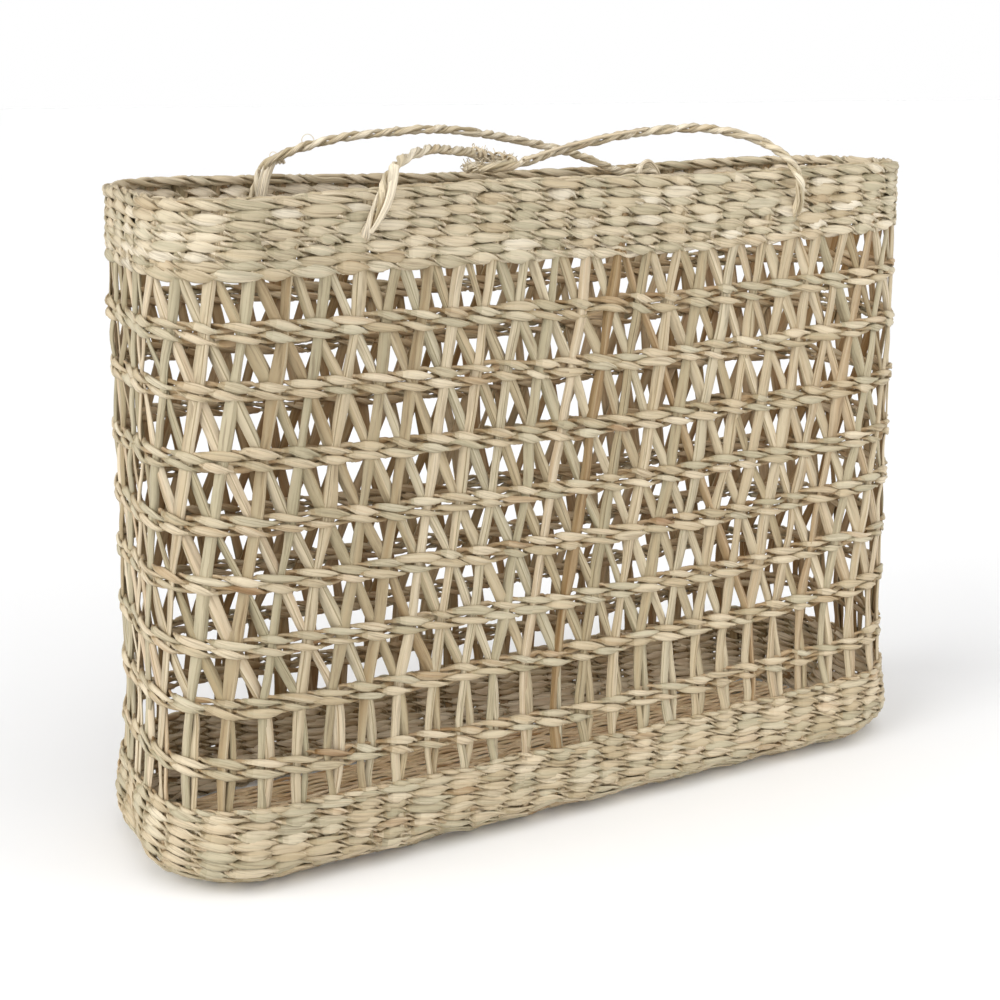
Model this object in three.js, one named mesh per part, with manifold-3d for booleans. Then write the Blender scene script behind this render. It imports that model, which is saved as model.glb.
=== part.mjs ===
// Straw basket bag: a tall, narrow tote twined by hand from seagrass, with two rope handles.
// Millimetres, +Z up. X runs along the long walls, the front wall is at -Y, and the floor's
// underside is at Z = 0 with the origin at its centre.

import * as THREE from "three";
import { mergeVertices } from "three/addons/utils/BufferGeometryUtils.js";
import Module from "manifold-3d";

// Outline of the basket at its rim and at its foot
const BAG_HEIGHT = 330;
const RIM_LENGTH = 420;
const RIM_DEPTH = 141;
const FOOT_LENGTH = 440;
const FOOT_DEPTH = 131;
const CORNER_RADIUS = 47;

// The long walls lean in a little half way along the rim
const RIM_PINCH = 6;

// The foot is tucked under the basket and swells just above the floor
const FOOT_TUCK = 17;
const FOOT_SWELL = 4;
const SWELL_HEIGHT = 17;
const WAIST_HEIGHT = 95;

// Bands of weave, from the floor up
const FLOOR_THICKNESS = 4;
const BASE_BAND_HEIGHT = 43;
const RIM_BAND_HEIGHT = 36;
const BORDER_HEIGHT = 6.4;
const BORDER_WIDTH = 6.8;
const BAND_WALL = 4.6;

// Open weave: stakes that part and meet again between double twined rows
const STAKE_WALL = 2.2;
const TWINED_ROW_HEIGHT = 9.5;
const GAPS_ROUND = 13;
const GAP_FOOT = 0.53;
const GAP_HEAD = 0.34;

// Rope handles
const HANDLE_DIAMETER = 5.2;
const HANDLE_SIDES = 8;
const FRONT_HANDLE_STEPS = 48;
const BACK_HANDLE_STEPS = 26;

// Clearance between neighbouring pieces
const SEAT_GAP = 0.3;

// Centre of each double twined row, as a share of the open weave's height
const TWINED_ROWS = [
  { at: 0.08 },
  { at: 0.205 },
  { at: 0.323 },
  { at: 0.443 },
  { at: 0.553 },
  { at: 0.673 },
  { at: 0.797 },
  { at: 0.906 },
];

// Front handle, from its left end inside the rim band to its right one: over the rim, through
// a flat curl above the mouth, up into an arch and down the front wall again. The last number
// of a point is its height above the rim.
const FRONT_HANDLE_ROUTE = [
  [-120, -58, -30],
  [-119, -64.5, -23],
  [-117.6, -70, -16],
  [-115.6, -73, -9],
  [-113, -73.8, -2],
  [-108.6, -72, 6],
  [-99.1, -64, 11.1],
  [-86.7, -53, 14],
  [-73.4, -42, 15.2],
  [-58.8, -30, 14.1],
  [-44, -18, 12.8],
  [-34, -6, 11.2],
  [-26, 2, 9.4],
  [-18, 3.5, 7.8],
  [-12.8, -3.5, 6.6],
  [-16.5, -12.5, 6],
  [-27, -16.5, 5.7],
  [-37, -18.5, 5.4],
  [-45.5, -23.5, 5.2],
  [-48.5, -32.5, 5.2],
  [-42.5, -40.5, 5.4],
  [-32, -41.5, 6.4],
  [-20, -38, 8.6],
  [-8, -34, 11.2],
  [4, -31, 13.4],
  [18, -29, 15.8],
  [33, -29, 18.5],
  [53.5, -32, 21.2],
  [80, -38, 22.3],
  [99, -46, 19.1],
  [109, -55, 14.4],
  [114, -65, 8.2],
  [115.8, -72, 1.4],
  [117.4, -73.8, -5.8],
  [119, -71.6, -13.4],
  [120.4, -66.4, -20.6],
  [121.4, -59, -27.4],
];

// Back handle, from its left end outside the rim band, through the band and up the inner face.
// It dips below the rim again before its right end.
const BACK_HANDLE_ROUTE = [
  [-129.4, 74, -27],
  [-128.8, 67.4, -21],
  [-127.8, 62, -14.6],
  [-126.2, 59.4, -8],
  [-124, 58.8, -0.4],
  [-120.1, 57, 6.4],
  [-112.6, 54, 10.4],
  [-103.8, 51, 13.9],
  [-84.3, 45, 18.6],
  [-58.1, 41, 21.2],
  [-36.3, 39, 22.4],
  [-18.9, 39, 21.4],
  [5.9, 41, 17.8],
  [32.6, 45, 12.8],
  [52, 48, 8.8],
  [66.7, 51, 4.6],
  [80.4, 54, 0],
  [91.7, 56, -3.4],
  [101.5, 57.5, -4],
  [109.6, 58.5, -2.6],
  [115.3, 58.8, -4.8],
  [118.1, 59.8, -10.6],
  [120.2, 64, -17],
  [121.6, 69.4, -23],
  [122.4, 75, -28],
];

// Places worked out from the sizes above
const COLUMNS_PER_GAP = 4;
const LAYERS_PER_ROW = 4;
const COLUMNS = GAPS_ROUND * COLUMNS_PER_GAP;
const BORDER_BOTTOM = BAG_HEIGHT - BORDER_HEIGHT;
const RIM_BAND_TOP = BORDER_BOTTOM - SEAT_GAP;
const RIM_BAND_BOTTOM = BAG_HEIGHT - RIM_BAND_HEIGHT;
const OPEN_BOTTOM = BASE_BAND_HEIGHT + SEAT_GAP;
const OPEN_TOP = RIM_BAND_BOTTOM - SEAT_GAP;

const STRAW = { color: 0xd3c7a2, roughness: 0.75, metalness: 0 };
const STRAW_GREEN = { color: 0xbdb78e, roughness: 0.75, metalness: 0 };
const STRAW_BROWN = { color: 0xb39a70, roughness: 0.8, metalness: 0 };
const ROPE = { color: 0xcdbd92, roughness: 0.7, metalness: 0 };

// How far the wall stands outside its straight lean at a height: tucked under at the floor,
// swelling above it, then dying out at the waist
function footOutset(height) {
  if (height < SWELL_HEIGHT) {
    const rise = Math.sin((Math.PI / 2) * (height / SWELL_HEIGHT));
    return -FOOT_TUCK + (FOOT_TUCK + FOOT_SWELL) * rise;
  }
  const share = Math.min(1, (height - SWELL_HEIGHT) / (WAIST_HEIGHT - SWELL_HEIGHT));
  return FOOT_SWELL * (0.5 + 0.5 * Math.cos(Math.PI * share));
}

// Half length, half depth and corner radius of the outline at a height
function section(height, inset) {
  const share = height / BAG_HEIGHT;
  const offset = footOutset(height) - inset;
  const halfDepth = (FOOT_DEPTH + (RIM_DEPTH - FOOT_DEPTH) * share) / 2 + offset;
  return {
    halfLength: (FOOT_LENGTH + (RIM_LENGTH - FOOT_LENGTH) * share) / 2 + offset,
    halfDepth,
    radius: Math.min(CORNER_RADIUS + offset, halfDepth * 0.98),
  };
}

// Point on a rounded rectangle, at a share of its way round from the middle of the front
function outlinePoint({ halfLength, halfDepth, radius }, share) {
  const straightX = halfLength - radius;
  const straightY = halfDepth - radius;
  const arc = (Math.PI / 2) * radius;
  const around = 4 * (straightX + straightY + arc);
  const half = ((share % 1) + 1) % 1;
  let along = (half < 0.5 ? half : 1 - half) * around;
  const side = half < 0.5 ? 1 : -1;
  if (along < straightX) return [side * along, -halfDepth];
  along -= straightX;
  if (along < arc) {
    const turn = along / radius;
    return [side * (straightX + radius * Math.sin(turn)), -straightY - radius * Math.cos(turn)];
  }
  along -= arc;
  if (along < 2 * straightY) return [side * halfLength, -straightY + along];
  along -= 2 * straightY;
  if (along < arc) {
    const turn = along / radius;
    return [side * (straightX + radius * Math.cos(turn)), straightY + radius * Math.sin(turn)];
  }
  return [side * (straightX - (along - arc)), halfDepth];
}

// Point of the wall, at a distance inside its outer face
function wallPoint(share, height, inset) {
  const outline = section(height, inset);
  const [x, y] = outlinePoint(outline, share);
  const middle = Math.cos((Math.PI / 2) * (x / outline.halfLength)) ** 2;
  const lean = RIM_PINCH * middle * (height / BAG_HEIGHT) ** 1.5;
  return [x, y - lean * (y / outline.halfDepth), height];
}

function solidFrom(points, triangles) {
  const geometry = new THREE.BufferGeometry();
  geometry.setAttribute("position", new THREE.Float32BufferAttribute(points.flat(), 3));
  geometry.setIndex(triangles.flat());
  return geometry;
}

// Closed band round the basket. Its profile runs up the outer face and down the inner one.
function bandSolid(profile) {
  const points = [];
  const triangles = [];
  for (let column = 0; column < COLUMNS; column++) {
    for (const { height, inset } of profile) points.push(wallPoint(column / COLUMNS, height, inset));
  }
  const sides = profile.length;
  for (let column = 0; column < COLUMNS; column++) {
    const here = column * sides;
    const next = ((column + 1) % COLUMNS) * sides;
    for (let side = 0; side < sides; side++) {
      const above = (side + 1) % sides;
      triangles.push([here + side, next + side, next + above], [here + side, next + above, here + above]);
    }
  }
  return solidFrom(points, triangles);
}

// Flat slab with the basket's outline, between the floor's two faces
function wovenFloor() {
  const points = [[0, 0, 0], [0, 0, FLOOR_THICKNESS]];
  const firstEdgePoint = points.length;
  const triangles = [];
  for (let column = 0; column < COLUMNS; column++) {
    for (const height of [0, FLOOR_THICKNESS]) {
      const inset = footOutset(height) + FOOT_TUCK + BAND_WALL + SEAT_GAP;
      points.push(wallPoint(column / COLUMNS, height, inset));
    }
  }
  for (let column = 0; column < COLUMNS; column++) {
    const low = firstEdgePoint + column * 2;
    const nextLow = firstEdgePoint + ((column + 1) % COLUMNS) * 2;
    triangles.push([0, nextLow, low], [1, low + 1, nextLow + 1]);
    triangles.push([low, nextLow, nextLow + 1], [low, nextLow + 1, low + 1]);
  }
  return solidFrom(points, triangles);
}

// Dense band round the foot. Its tucked edge is as deep as the floor that it holds.
function baseBand() {
  const outerHeights = [0, 0.33, 0.66, 1].map((share) => share * SWELL_HEIGHT);
  const innerEdge = (height) => footOutset(height) + FOOT_TUCK + BAND_WALL;
  return bandSolid([
    ...outerHeights.map((height) => ({ height, inset: 0 })),
    { height: (SWELL_HEIGHT + BASE_BAND_HEIGHT) / 2, inset: 0 },
    { height: BASE_BAND_HEIGHT, inset: 0 },
    { height: BASE_BAND_HEIGHT, inset: BAND_WALL },
    { height: SWELL_HEIGHT, inset: BAND_WALL },
    { height: FLOOR_THICKNESS, inset: innerEdge(FLOOR_THICKNESS) },
    { height: 0, inset: innerEdge(0) },
  ]);
}

// Levels of the open wall, from the foot up. Each open stretch lies between two levels of
// bare stakes, and each twined row stands proud between two crowns.
function openLevels() {
  const stake = (height, stretch, gap) => ({ height, proud: false, stretch, gap });
  const crown = (height) => ({ height, proud: true, stretch: 0, gap: 0.5 });
  const levels = [stake(OPEN_BOTTOM, 0, GAP_FOOT)];
  TWINED_ROWS.forEach(({ at }, row) => {
    const centre = OPEN_BOTTOM + at * (OPEN_TOP - OPEN_BOTTOM);
    const half = TWINED_ROW_HEIGHT / 2;
    levels.push(stake(centre - half, row, GAP_HEAD));
    levels.push(crown(centre - half / 2), crown(centre + half / 2));
    levels.push(stake(centre + half, row + 1, GAP_FOOT));
  });
  levels.push(stake(OPEN_TOP, TWINED_ROWS.length, GAP_HEAD));
  return levels;
}

// Share of the way round of a column. At an open stretch the columns beside a gap move, so
// that the stakes lean, and every second stretch is set off by half a gap.
function columnShare(column, { stretch, gap }) {
  const setOff = (stretch % 2) * (COLUMNS_PER_GAP / 2);
  const index = Math.floor((column - setOff) / COLUMNS_PER_GAP);
  const place = column - setOff - index * COLUMNS_PER_GAP;
  const fromGapCentre = [-gap / 2, 0, gap / 2, 0.5][place];
  return (index + (setOff + 1) / COLUMNS_PER_GAP + fromGapCentre) / GAPS_ROUND;
}

function isGap(layer, column) {
  if (layer % LAYERS_PER_ROW !== 0) return false;
  const setOff = ((layer / LAYERS_PER_ROW) % 2) * (COLUMNS_PER_GAP / 2);
  return (column - setOff + COLUMNS) % COLUMNS_PER_GAP < 2;
}

// Stakes and twined rows fused into one pierced wall
function openWall() {
  const levels = openLevels();
  const layers = levels.length - 1;
  const points = [];
  const triangles = [];
  for (const level of levels) {
    const outerInset = level.proud ? 0 : (BAND_WALL - STAKE_WALL) / 2;
    for (let column = 0; column < COLUMNS; column++) {
      const share = columnShare(column, level);
      points.push(wallPoint(share, level.height, outerInset));
      points.push(wallPoint(share, level.height, BAND_WALL - outerInset));
    }
  }
  const outer = (level, column) => 2 * (level * COLUMNS + ((column + COLUMNS) % COLUMNS));
  const inner = (level, column) => outer(level, column) + 1;
  const quad = (a, b, c, d) => triangles.push([a, b, c], [a, c, d]);
  const solid = (layer, column) => layer >= 0 && layer < layers && !isGap(layer, column);
  for (let layer = 0; layer < layers; layer++) {
    for (let column = 0; column < COLUMNS; column++) {
      if (!solid(layer, column)) continue;
      const next = column + 1;
      const top = layer + 1;
      quad(outer(layer, column), outer(layer, next), outer(top, next), outer(top, column));
      quad(inner(layer, next), inner(layer, column), inner(top, column), inner(top, next));
      if (!solid(layer - 1, column)) {
        quad(inner(layer, column), inner(layer, next), outer(layer, next), outer(layer, column));
      }
      if (!solid(layer + 1, column)) {
        quad(outer(top, column), outer(top, next), inner(top, next), inner(top, column));
      }
      if (!solid(layer, column - 1)) {
        quad(inner(layer, column), outer(layer, column), outer(top, column), inner(top, column));
      }
      if (!solid(layer, next)) {
        quad(outer(layer, next), inner(layer, next), inner(top, next), outer(top, next));
      }
    }
  }
  return solidFrom(points, triangles);
}

// Rope along a handle's route
function ropeSolid(route, steps, radius) {
  const shape = new THREE.Shape();
  for (let side = 0; side < HANDLE_SIDES; side++) {
    const turn = (2 * Math.PI * side) / HANDLE_SIDES;
    const point = [radius * Math.cos(turn), radius * Math.sin(turn)];
    if (side === 0) shape.moveTo(...point);
    else shape.lineTo(...point);
  }
  shape.closePath();
  const points = route.map(([x, y, rise]) => new THREE.Vector3(x, y, BAG_HEIGHT + rise));
  const curve = new THREE.CatmullRomCurve3(points);
  const rope = new THREE.ExtrudeGeometry(shape, { steps, extrudePath: curve, bevelEnabled: false });
  rope.deleteAttribute("normal");
  rope.deleteAttribute("uv");
  return mergeVertices(rope, 1e-4);
}

const wasm = await Module();
wasm.setup();

function toManifold(geometry) {
  const mesh = new wasm.Mesh({
    numProp: 3,
    vertProperties: new Float32Array(geometry.attributes.position.array),
    triVerts: new Uint32Array(geometry.index.array),
  });
  return new wasm.Manifold(mesh);
}

function toGeometry(manifold) {
  const mesh = manifold.getMesh();
  const geometry = new THREE.BufferGeometry();
  geometry.setAttribute("position", new THREE.BufferAttribute(mesh.vertProperties, 3));
  geometry.setIndex(new THREE.BufferAttribute(mesh.triVerts, 1));
  return geometry;
}

// Dense band below the border, parted where the handles' ends pass through it
function rimBand() {
  const band = bandSolid([
    { height: RIM_BAND_BOTTOM, inset: 0 },
    { height: (RIM_BAND_BOTTOM + RIM_BAND_TOP) / 2, inset: 0 },
    { height: RIM_BAND_TOP, inset: 0 },
    { height: RIM_BAND_TOP, inset: BAND_WALL },
    { height: RIM_BAND_BOTTOM, inset: BAND_WALL },
  ]);
  const slotRadius = HANDLE_DIAMETER / 2 + SEAT_GAP;
  const frontSlots = ropeSolid(FRONT_HANDLE_ROUTE, FRONT_HANDLE_STEPS, slotRadius);
  const backSlots = ropeSolid(BACK_HANDLE_ROUTE, BACK_HANDLE_STEPS, slotRadius);
  return toGeometry(toManifold(band).subtract(toManifold(frontSlots)).subtract(toManifold(backSlots)));
}

// Rolled border on top of the band
function rimEdge() {
  const profile = [];
  for (let side = 0; side < 8; side++) {
    const turn = (2 * Math.PI * (side + 0.5)) / 8;
    const flat = Math.cos(Math.PI / 8);
    profile.push({
      height: BORDER_BOTTOM + (BORDER_HEIGHT / 2) * (1 + Math.sin(turn) / flat),
      inset: BAND_WALL / 2 - (BORDER_WIDTH / 2) * (Math.cos(turn) / flat),
    });
  }
  return bandSolid(profile);
}

function piece(name, geometry, finish) {
  const mesh = new THREE.Mesh(geometry, new THREE.MeshStandardMaterial(finish));
  mesh.name = name;
  return mesh;
}

const handleRadius = HANDLE_DIAMETER / 2;
const bag = new THREE.Group();
bag.add(piece("woven_floor", wovenFloor(), STRAW_BROWN));
bag.add(piece("base_band", baseBand(), STRAW_GREEN));
bag.add(piece("open_wall", openWall(), STRAW));
bag.add(piece("rim_band", rimBand(), STRAW));
bag.add(piece("rim_edge", rimEdge(), STRAW_GREEN));
bag.add(piece("handle_front", ropeSolid(FRONT_HANDLE_ROUTE, FRONT_HANDLE_STEPS, handleRadius), ROPE));
bag.add(piece("handle_back", ropeSolid(BACK_HANDLE_ROUTE, BACK_HANDLE_STEPS, handleRadius), ROPE));

export default bag;
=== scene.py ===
"""Woven straw basket bag with two twisted rope handles, in metres, +Z up, standing on z = 0."""

import bpy
import numpy as np
from mathutils import Matrix, Vector


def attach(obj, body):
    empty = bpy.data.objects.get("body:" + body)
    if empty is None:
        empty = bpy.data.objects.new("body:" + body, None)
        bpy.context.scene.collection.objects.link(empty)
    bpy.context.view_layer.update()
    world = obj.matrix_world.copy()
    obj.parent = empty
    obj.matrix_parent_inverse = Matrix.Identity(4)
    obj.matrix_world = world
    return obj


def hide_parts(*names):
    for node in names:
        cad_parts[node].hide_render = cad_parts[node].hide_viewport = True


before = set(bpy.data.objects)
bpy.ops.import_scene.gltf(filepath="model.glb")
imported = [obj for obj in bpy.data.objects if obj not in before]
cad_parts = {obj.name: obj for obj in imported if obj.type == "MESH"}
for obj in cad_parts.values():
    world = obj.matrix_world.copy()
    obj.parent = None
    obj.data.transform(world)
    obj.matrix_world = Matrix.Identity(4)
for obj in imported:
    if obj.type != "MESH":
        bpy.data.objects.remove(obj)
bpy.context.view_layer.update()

# Wall of the basket: a rounded rectangle, longer and slimmer at its foot than at its rim
BAG_HEIGHT = 0.330
RIM_LENGTH = 0.420
RIM_DEPTH = 0.141
FOOT_LENGTH = 0.440
FOOT_DEPTH = 0.131
CORNER_RADIUS = 0.047
RIM_PINCH = 0.006
FOOT_TUCK = 0.017
FOOT_SWELL = 0.004
SWELL_HEIGHT = 0.017
WAIST_HEIGHT = 0.095

# Heights of the bands
BASE_BAND_TOP = 0.0425
RIM_BAND_BOTTOM = 0.2935
BORDER_MIDDLE = 0.3267
TWINED_ROW_MIDDLES = (0.270, 0.243, 0.2115, 0.1815, 0.154, 0.1235, 0.094, 0.063)

# Counts of the weave
STAKE_PAIRS = 60
RIM_ROWS = 7
BASE_ROWS = 11
STEPS_PER_PAIR = 8
TUBE_SIDES = 8

# Sizes of the straw
WEAVE_INSET = 0.0024
WEFT_SWING = 0.00135
WEFT_HALF_THICKNESS = 0.00092
WEFT_NECK = 0.74
DENSE_DROP = 0.0009
RIM_WEFT_SHARE = 0.69
BASE_WEFT_SHARE = 0.67
LIP_HALF_WIDTH = 0.0014
LIP_DROP = 0.0005
ROW_HALF_GAP = 0.00225
ROW_HALF_WIDTH = 0.00218
ROW_DROP = 0.0014
SIDE_LEAN = -0.3
ROW_SAG = 0.0021
LOWEST_ROW_SAG = 0.0040
BASE_SAG = 0.00168
WALL_WANDER = 0.0007
END_WIDENING = 0.15
LOWEST_BASE_HEIGHT = 0.0026

# Dark straws that close the dense bands from inside, painted shade in the slots between the floats
FILLER_DEPTH = 0.0007
FILLER_HALF_WIDTH = 0.0042
FILLER_HALF_THICKNESS = 0.0004
FILLER_PAINTED_SHADE_TONE = (0.7, -1.0)

# Stakes. The spreads are for the lowest row and three heights below it.
FRONT_STAKE_HALF_WIDTHS = (0.0025, 0.0034)
REAR_STAKE_HALF_WIDTHS = (0.0023, 0.0032)
STAKE_DEPTH = 0.0004
STAKE_TOP_HEIGHTS = (0.325, 0.300)
STAKE_FOOT_HEIGHTS = (0.022, 0.004)
LEANING_ROWS = 7
STAKE_STEPS = 84
STAKE_SKIN = 0.0005
STAKE_CREASE = 0.00055
FRONT_SPREAD = -0.17
REAR_SPREAD = 0.18
FOOT_SPREAD = (1.0, 0.3, 0.3, 0.3)
LOW_STAKE_WIDTH = 0.8
LOW_STAKE_TOP = 0.06

# Straws of the floor
FLOOR_ROW_PITCH = 0.0023
FLOOR_STAKE_PITCH = 0.0165
FLOOR_STAKE_STEPS = 40
FLOOR_MIDDLE = 0.0027
FLOOR_INSET = 0.0035

# Rise of the rim, as pairs of a share of the way round from the middle of the front and a height
RIM_RISE = (
    (0.00, 0.0021), (0.07, 0.0012), (0.13, 0.0036), (0.19, 0.0046), (0.27, 0.0050), (0.34, 0.0020),
    (0.43, -0.0003), (0.52, -0.0009), (0.63, 0.0013), (0.71, 0.0010), (0.80, -0.0022),
    (0.85, -0.0014), (0.92, 0.0016),
)
RIM_RISE_BLEND = 0.02
RIM_RISE_START = 0.235
RIM_RISE_SPAN = 0.06

# Rise of the rows at the right end
RIGHT_END_RISE = 0.0048
RIGHT_END_SHARE = 0.215
RIGHT_END_SPREAD = 0.085
ROW_RISE_START = 0.055
ROW_RISE_SPAN = 0.04

# Bellies of the two ends
END_BULGE = 0.0024
FOOT_END_BULGE = 0.0020
FOOT_BULGE_HEIGHT = 0.024
FOOT_BULGE_SPREAD = 0.016
FINE_WARP = 0.0004

# Tones of the straw: a hue as a share of a colour range, or a hue and a painted shade for inner sides
LAST_PALE_HUE = 0.86
INSIDE_HUE = 0.9
# Inner sides get a warmer hue and painted shade; a negative painted shade, as on the base and rim, is
# painted light
INSIDE_PAINTED_SHADE = 0.3
WALL_INSIDE_HUE_AND_PAINTED_SHADE = (0.84, 0.25)
BASE_INSIDE_HUE_AND_PAINTED_LIGHT = (0.72, -0.35)
RIM_INSIDE_HUE_AND_PAINTED_LIGHT = (0.66, -1.0)
# Painted shade where a weft dives between the stakes
DIVE_PAINTED_SHADE = 0.75
RARE_RUST = 0.006
FLOATS_PER_BLADE = 5
BLADE_TONE_SHARE = 0.4
BLEND_SPAN = 0.24
# Painted shade along the edge faces of the stakes
EDGE_PAINTED_SHADE = 0.6
# Painted shade along the edges of each rope ply, where the plies meet
PLY_EDGE_PAINTED_SHADE = 0.8

# Rope handles
ROPE_TURN = 0.025
ROPE_SAMPLE = 0.0009
STRAP_LENGTH = 0.034
STRAP_HALF_WIDTH = 0.0025
STRAP_HALF_THICKNESS = 0.0008
PLY_HALF_WIDTH = 0.0016
PLY_HALF_THICKNESS = 0.0013
PLY_OFFSET = 0.0012
PLY_BLADE_LENGTH = 0.024
FRONT_HANDLE_ROUTE = (
    (-0.1200, -0.0580, 0.3000), (-0.1190, -0.0645, 0.3070), (-0.1176, -0.0700, 0.3140),
    (-0.1156, -0.0730, 0.3210), (-0.1130, -0.0738, 0.3280), (-0.1086, -0.0720, 0.3360),
    (-0.0991, -0.0640, 0.3411), (-0.0867, -0.0530, 0.3440), (-0.0734, -0.0420, 0.3452),
    (-0.0588, -0.0300, 0.3441), (-0.0440, -0.0180, 0.3428), (-0.0340, -0.0060, 0.3412),
    (-0.0260, 0.0020, 0.3394), (-0.0180, 0.0035, 0.3378), (-0.0128, -0.0035, 0.3366),
    (-0.0165, -0.0125, 0.3360), (-0.0270, -0.0165, 0.3357), (-0.0370, -0.0185, 0.3354),
    (-0.0455, -0.0235, 0.3352), (-0.0485, -0.0325, 0.3352), (-0.0425, -0.0405, 0.3354),
    (-0.0320, -0.0415, 0.3364), (-0.0200, -0.0380, 0.3386), (-0.0080, -0.0340, 0.3412),
    (0.0040, -0.0310, 0.3434), (0.0180, -0.0290, 0.3458), (0.0330, -0.0290, 0.3485),
    (0.0535, -0.0320, 0.3512), (0.0800, -0.0380, 0.3523), (0.0990, -0.0460, 0.3491),
    (0.1090, -0.0550, 0.3444), (0.1140, -0.0650, 0.3382), (0.1158, -0.0720, 0.3314),
    (0.1174, -0.0738, 0.3242), (0.1190, -0.0716, 0.3166), (0.1204, -0.0664, 0.3094),
    (0.1214, -0.0590, 0.3026),
)
BACK_HANDLE_ROUTE = (
    (-0.1294, 0.0740, 0.3030), (-0.1288, 0.0674, 0.3090), (-0.1278, 0.0620, 0.3154),
    (-0.1262, 0.0594, 0.3220), (-0.1240, 0.0588, 0.3296), (-0.1201, 0.0570, 0.3364),
    (-0.1126, 0.0540, 0.3404), (-0.1038, 0.0510, 0.3439), (-0.0843, 0.0450, 0.3486),
    (-0.0581, 0.0410, 0.3512), (-0.0363, 0.0390, 0.3524), (-0.0189, 0.0390, 0.3514),
    (0.0059, 0.0410, 0.3478), (0.0326, 0.0450, 0.3428), (0.0520, 0.0480, 0.3388),
    (0.0667, 0.0510, 0.3346), (0.0804, 0.0540, 0.3300), (0.0917, 0.0560, 0.3266),
    (0.1015, 0.0575, 0.3260), (0.1096, 0.0585, 0.3274), (0.1153, 0.0588, 0.3252),
    (0.1181, 0.0598, 0.3194), (0.1202, 0.0640, 0.3130), (0.1216, 0.0694, 0.3070),
    (0.1224, 0.0750, 0.3020),
)

# Grain of the straw: repeats a metre along and across it, and the distance between straws
GRAIN_SCALES = (45.0, 1 / 0.0007, 31.0)
PATCH_SCALE = 0.35
PATCH_RANGE = 0.5
CREASE_SCALE = 0.45
CREASE_SHARE = 2.2
BUMP_DEPTH = 0.0005
LIGHT_RANGE = 0.31
RICHNESS = 1.09
RICHNESS_RANGE = -0.2

# Loose straws of the handles, with the step from one to the next and how far its points lift
SECOND_STRAP = (
    (-0.1050, -0.0712, 0.3398), (-0.1086, -0.0756, 0.3310), (-0.1112, -0.0764, 0.3240),
    (-0.1146, -0.0750, 0.3170), (-0.1176, -0.0712, 0.3110),
)
FOLDED_STRAW = (
    (-0.1260, 0.0586, 0.3150), (-0.1242, 0.0566, 0.3255), (-0.1210, 0.0566, 0.3345),
    (-0.1170, 0.0566, 0.3385), (-0.1142, 0.0566, 0.3362),
)
FOLDED_STEP = (0.0016, -0.0006, 0.0)
FOLDED_LIFTS = (0.0, 0.0, 0.0, 0.0008, 0.0)
END_STRAW = (
    (0.1010, 0.0560, 0.3255), (0.1040, 0.0575, 0.3285), (0.1095, 0.0590, 0.3298),
    (0.1155, 0.0598, 0.3270), (0.1190, 0.0606, 0.3215),
)
END_STEP = (0.0012, 0.0, 0.0)
END_LIFTS = (0.0, 0.0007, 0.0007, 0.0, 0.0)
STRAY_LOOPS = (((-0.1165, 0.0550, 0.3405), 0.0016), ((-0.0995, 0.0500, 0.3478), 0.0029))
BLADE_HALF_WIDTH = 0.0012
BLADE_HALF_THICKNESS = 0.0005
FIBRE_HALF_WIDTH = 0.00032
FIBRE_HALF_THICKNESS = 0.00022

# Viewing angle
CAMERA_AZIMUTH = -27.58
CAMERA_ELEVATION = 14.84
CAMERA_DISTANCE = 0.81967
CAMERA_TARGET = (-0.01701, 0.0, 0.15921)
CAMERA_ROLL = -0.381
CAMERA_LENS = 54.98


def place_camera():
    azimuth, elevation, roll = np.radians((CAMERA_AZIMUTH, CAMERA_ELEVATION, CAMERA_ROLL))
    back = Vector((
        np.sin(azimuth) * np.cos(elevation),
        -np.cos(azimuth) * np.cos(elevation),
        np.sin(elevation),
    ))
    level = Vector((0, 0, 1)).cross(back).normalized()
    upright = back.cross(level)
    right = level * np.cos(roll) + upright * np.sin(roll)
    up = upright * np.cos(roll) - level * np.sin(roll)
    camera = bpy.data.objects.new("camera", bpy.data.cameras.new("camera"))
    bpy.context.collection.objects.link(camera)
    turn = Matrix((right, up, back)).transposed().to_4x4()
    camera.matrix_world = Matrix.Translation(Vector(CAMERA_TARGET) + back * CAMERA_DISTANCE) @ turn
    camera.data.lens = CAMERA_LENS
    camera.data.sensor_width = 36
    camera.data.clip_start = 0.01
    camera.data.clip_end = 200
    bpy.context.scene.camera = camera


# Smooth shapes

def unit(vectors):
    return vectors / np.linalg.norm(vectors, axis=-1, keepdims=True)


def wander(share, seed, lowest, highest, size):
    """Smooth random change round a closed row, made of whole waves."""
    rng = np.random.default_rng(seed)
    counts = np.arange(lowest, highest + 1)
    heights = rng.normal(0, 1, len(counts)) / np.sqrt(len(counts))
    starts = rng.uniform(0, 2 * np.pi, len(counts))
    waves = np.sin(2 * np.pi * np.multiply.outer(share, counts) + starts)
    return size * waves @ heights


def catmull_rom(points, per_span):
    """Centripetal curve through the points."""
    points = np.array(points, float)
    first = 2 * points[0] - points[1]
    last = 2 * points[-1] - points[-2]
    padded = np.vstack((first, points, last))
    t = np.linspace(0, 1, per_span, endpoint=False)[:, None]
    spans = []
    for p0, p1, p2, p3 in zip(padded, padded[1:], padded[2:], padded[3:]):
        d0, d1, d2 = (np.sqrt(np.linalg.norm(b - a)) for a, b in ((p0, p1), (p1, p2), (p2, p3)))
        t1 = d1 * ((p1 - p0) / d0 - (p2 - p0) / (d0 + d1) + (p2 - p1) / d1)
        t2 = d1 * ((p2 - p1) / d1 - (p3 - p1) / (d1 + d2) + (p3 - p2) / d2)
        spans.append(
            p1 + t * t1 + t**2 * (-3 * p1 + 3 * p2 - 2 * t1 - t2) + t**3 * (2 * p1 - 2 * p2 + t1 + t2)
        )
    spans.append(points[-1:])
    return np.vstack(spans)


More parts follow.
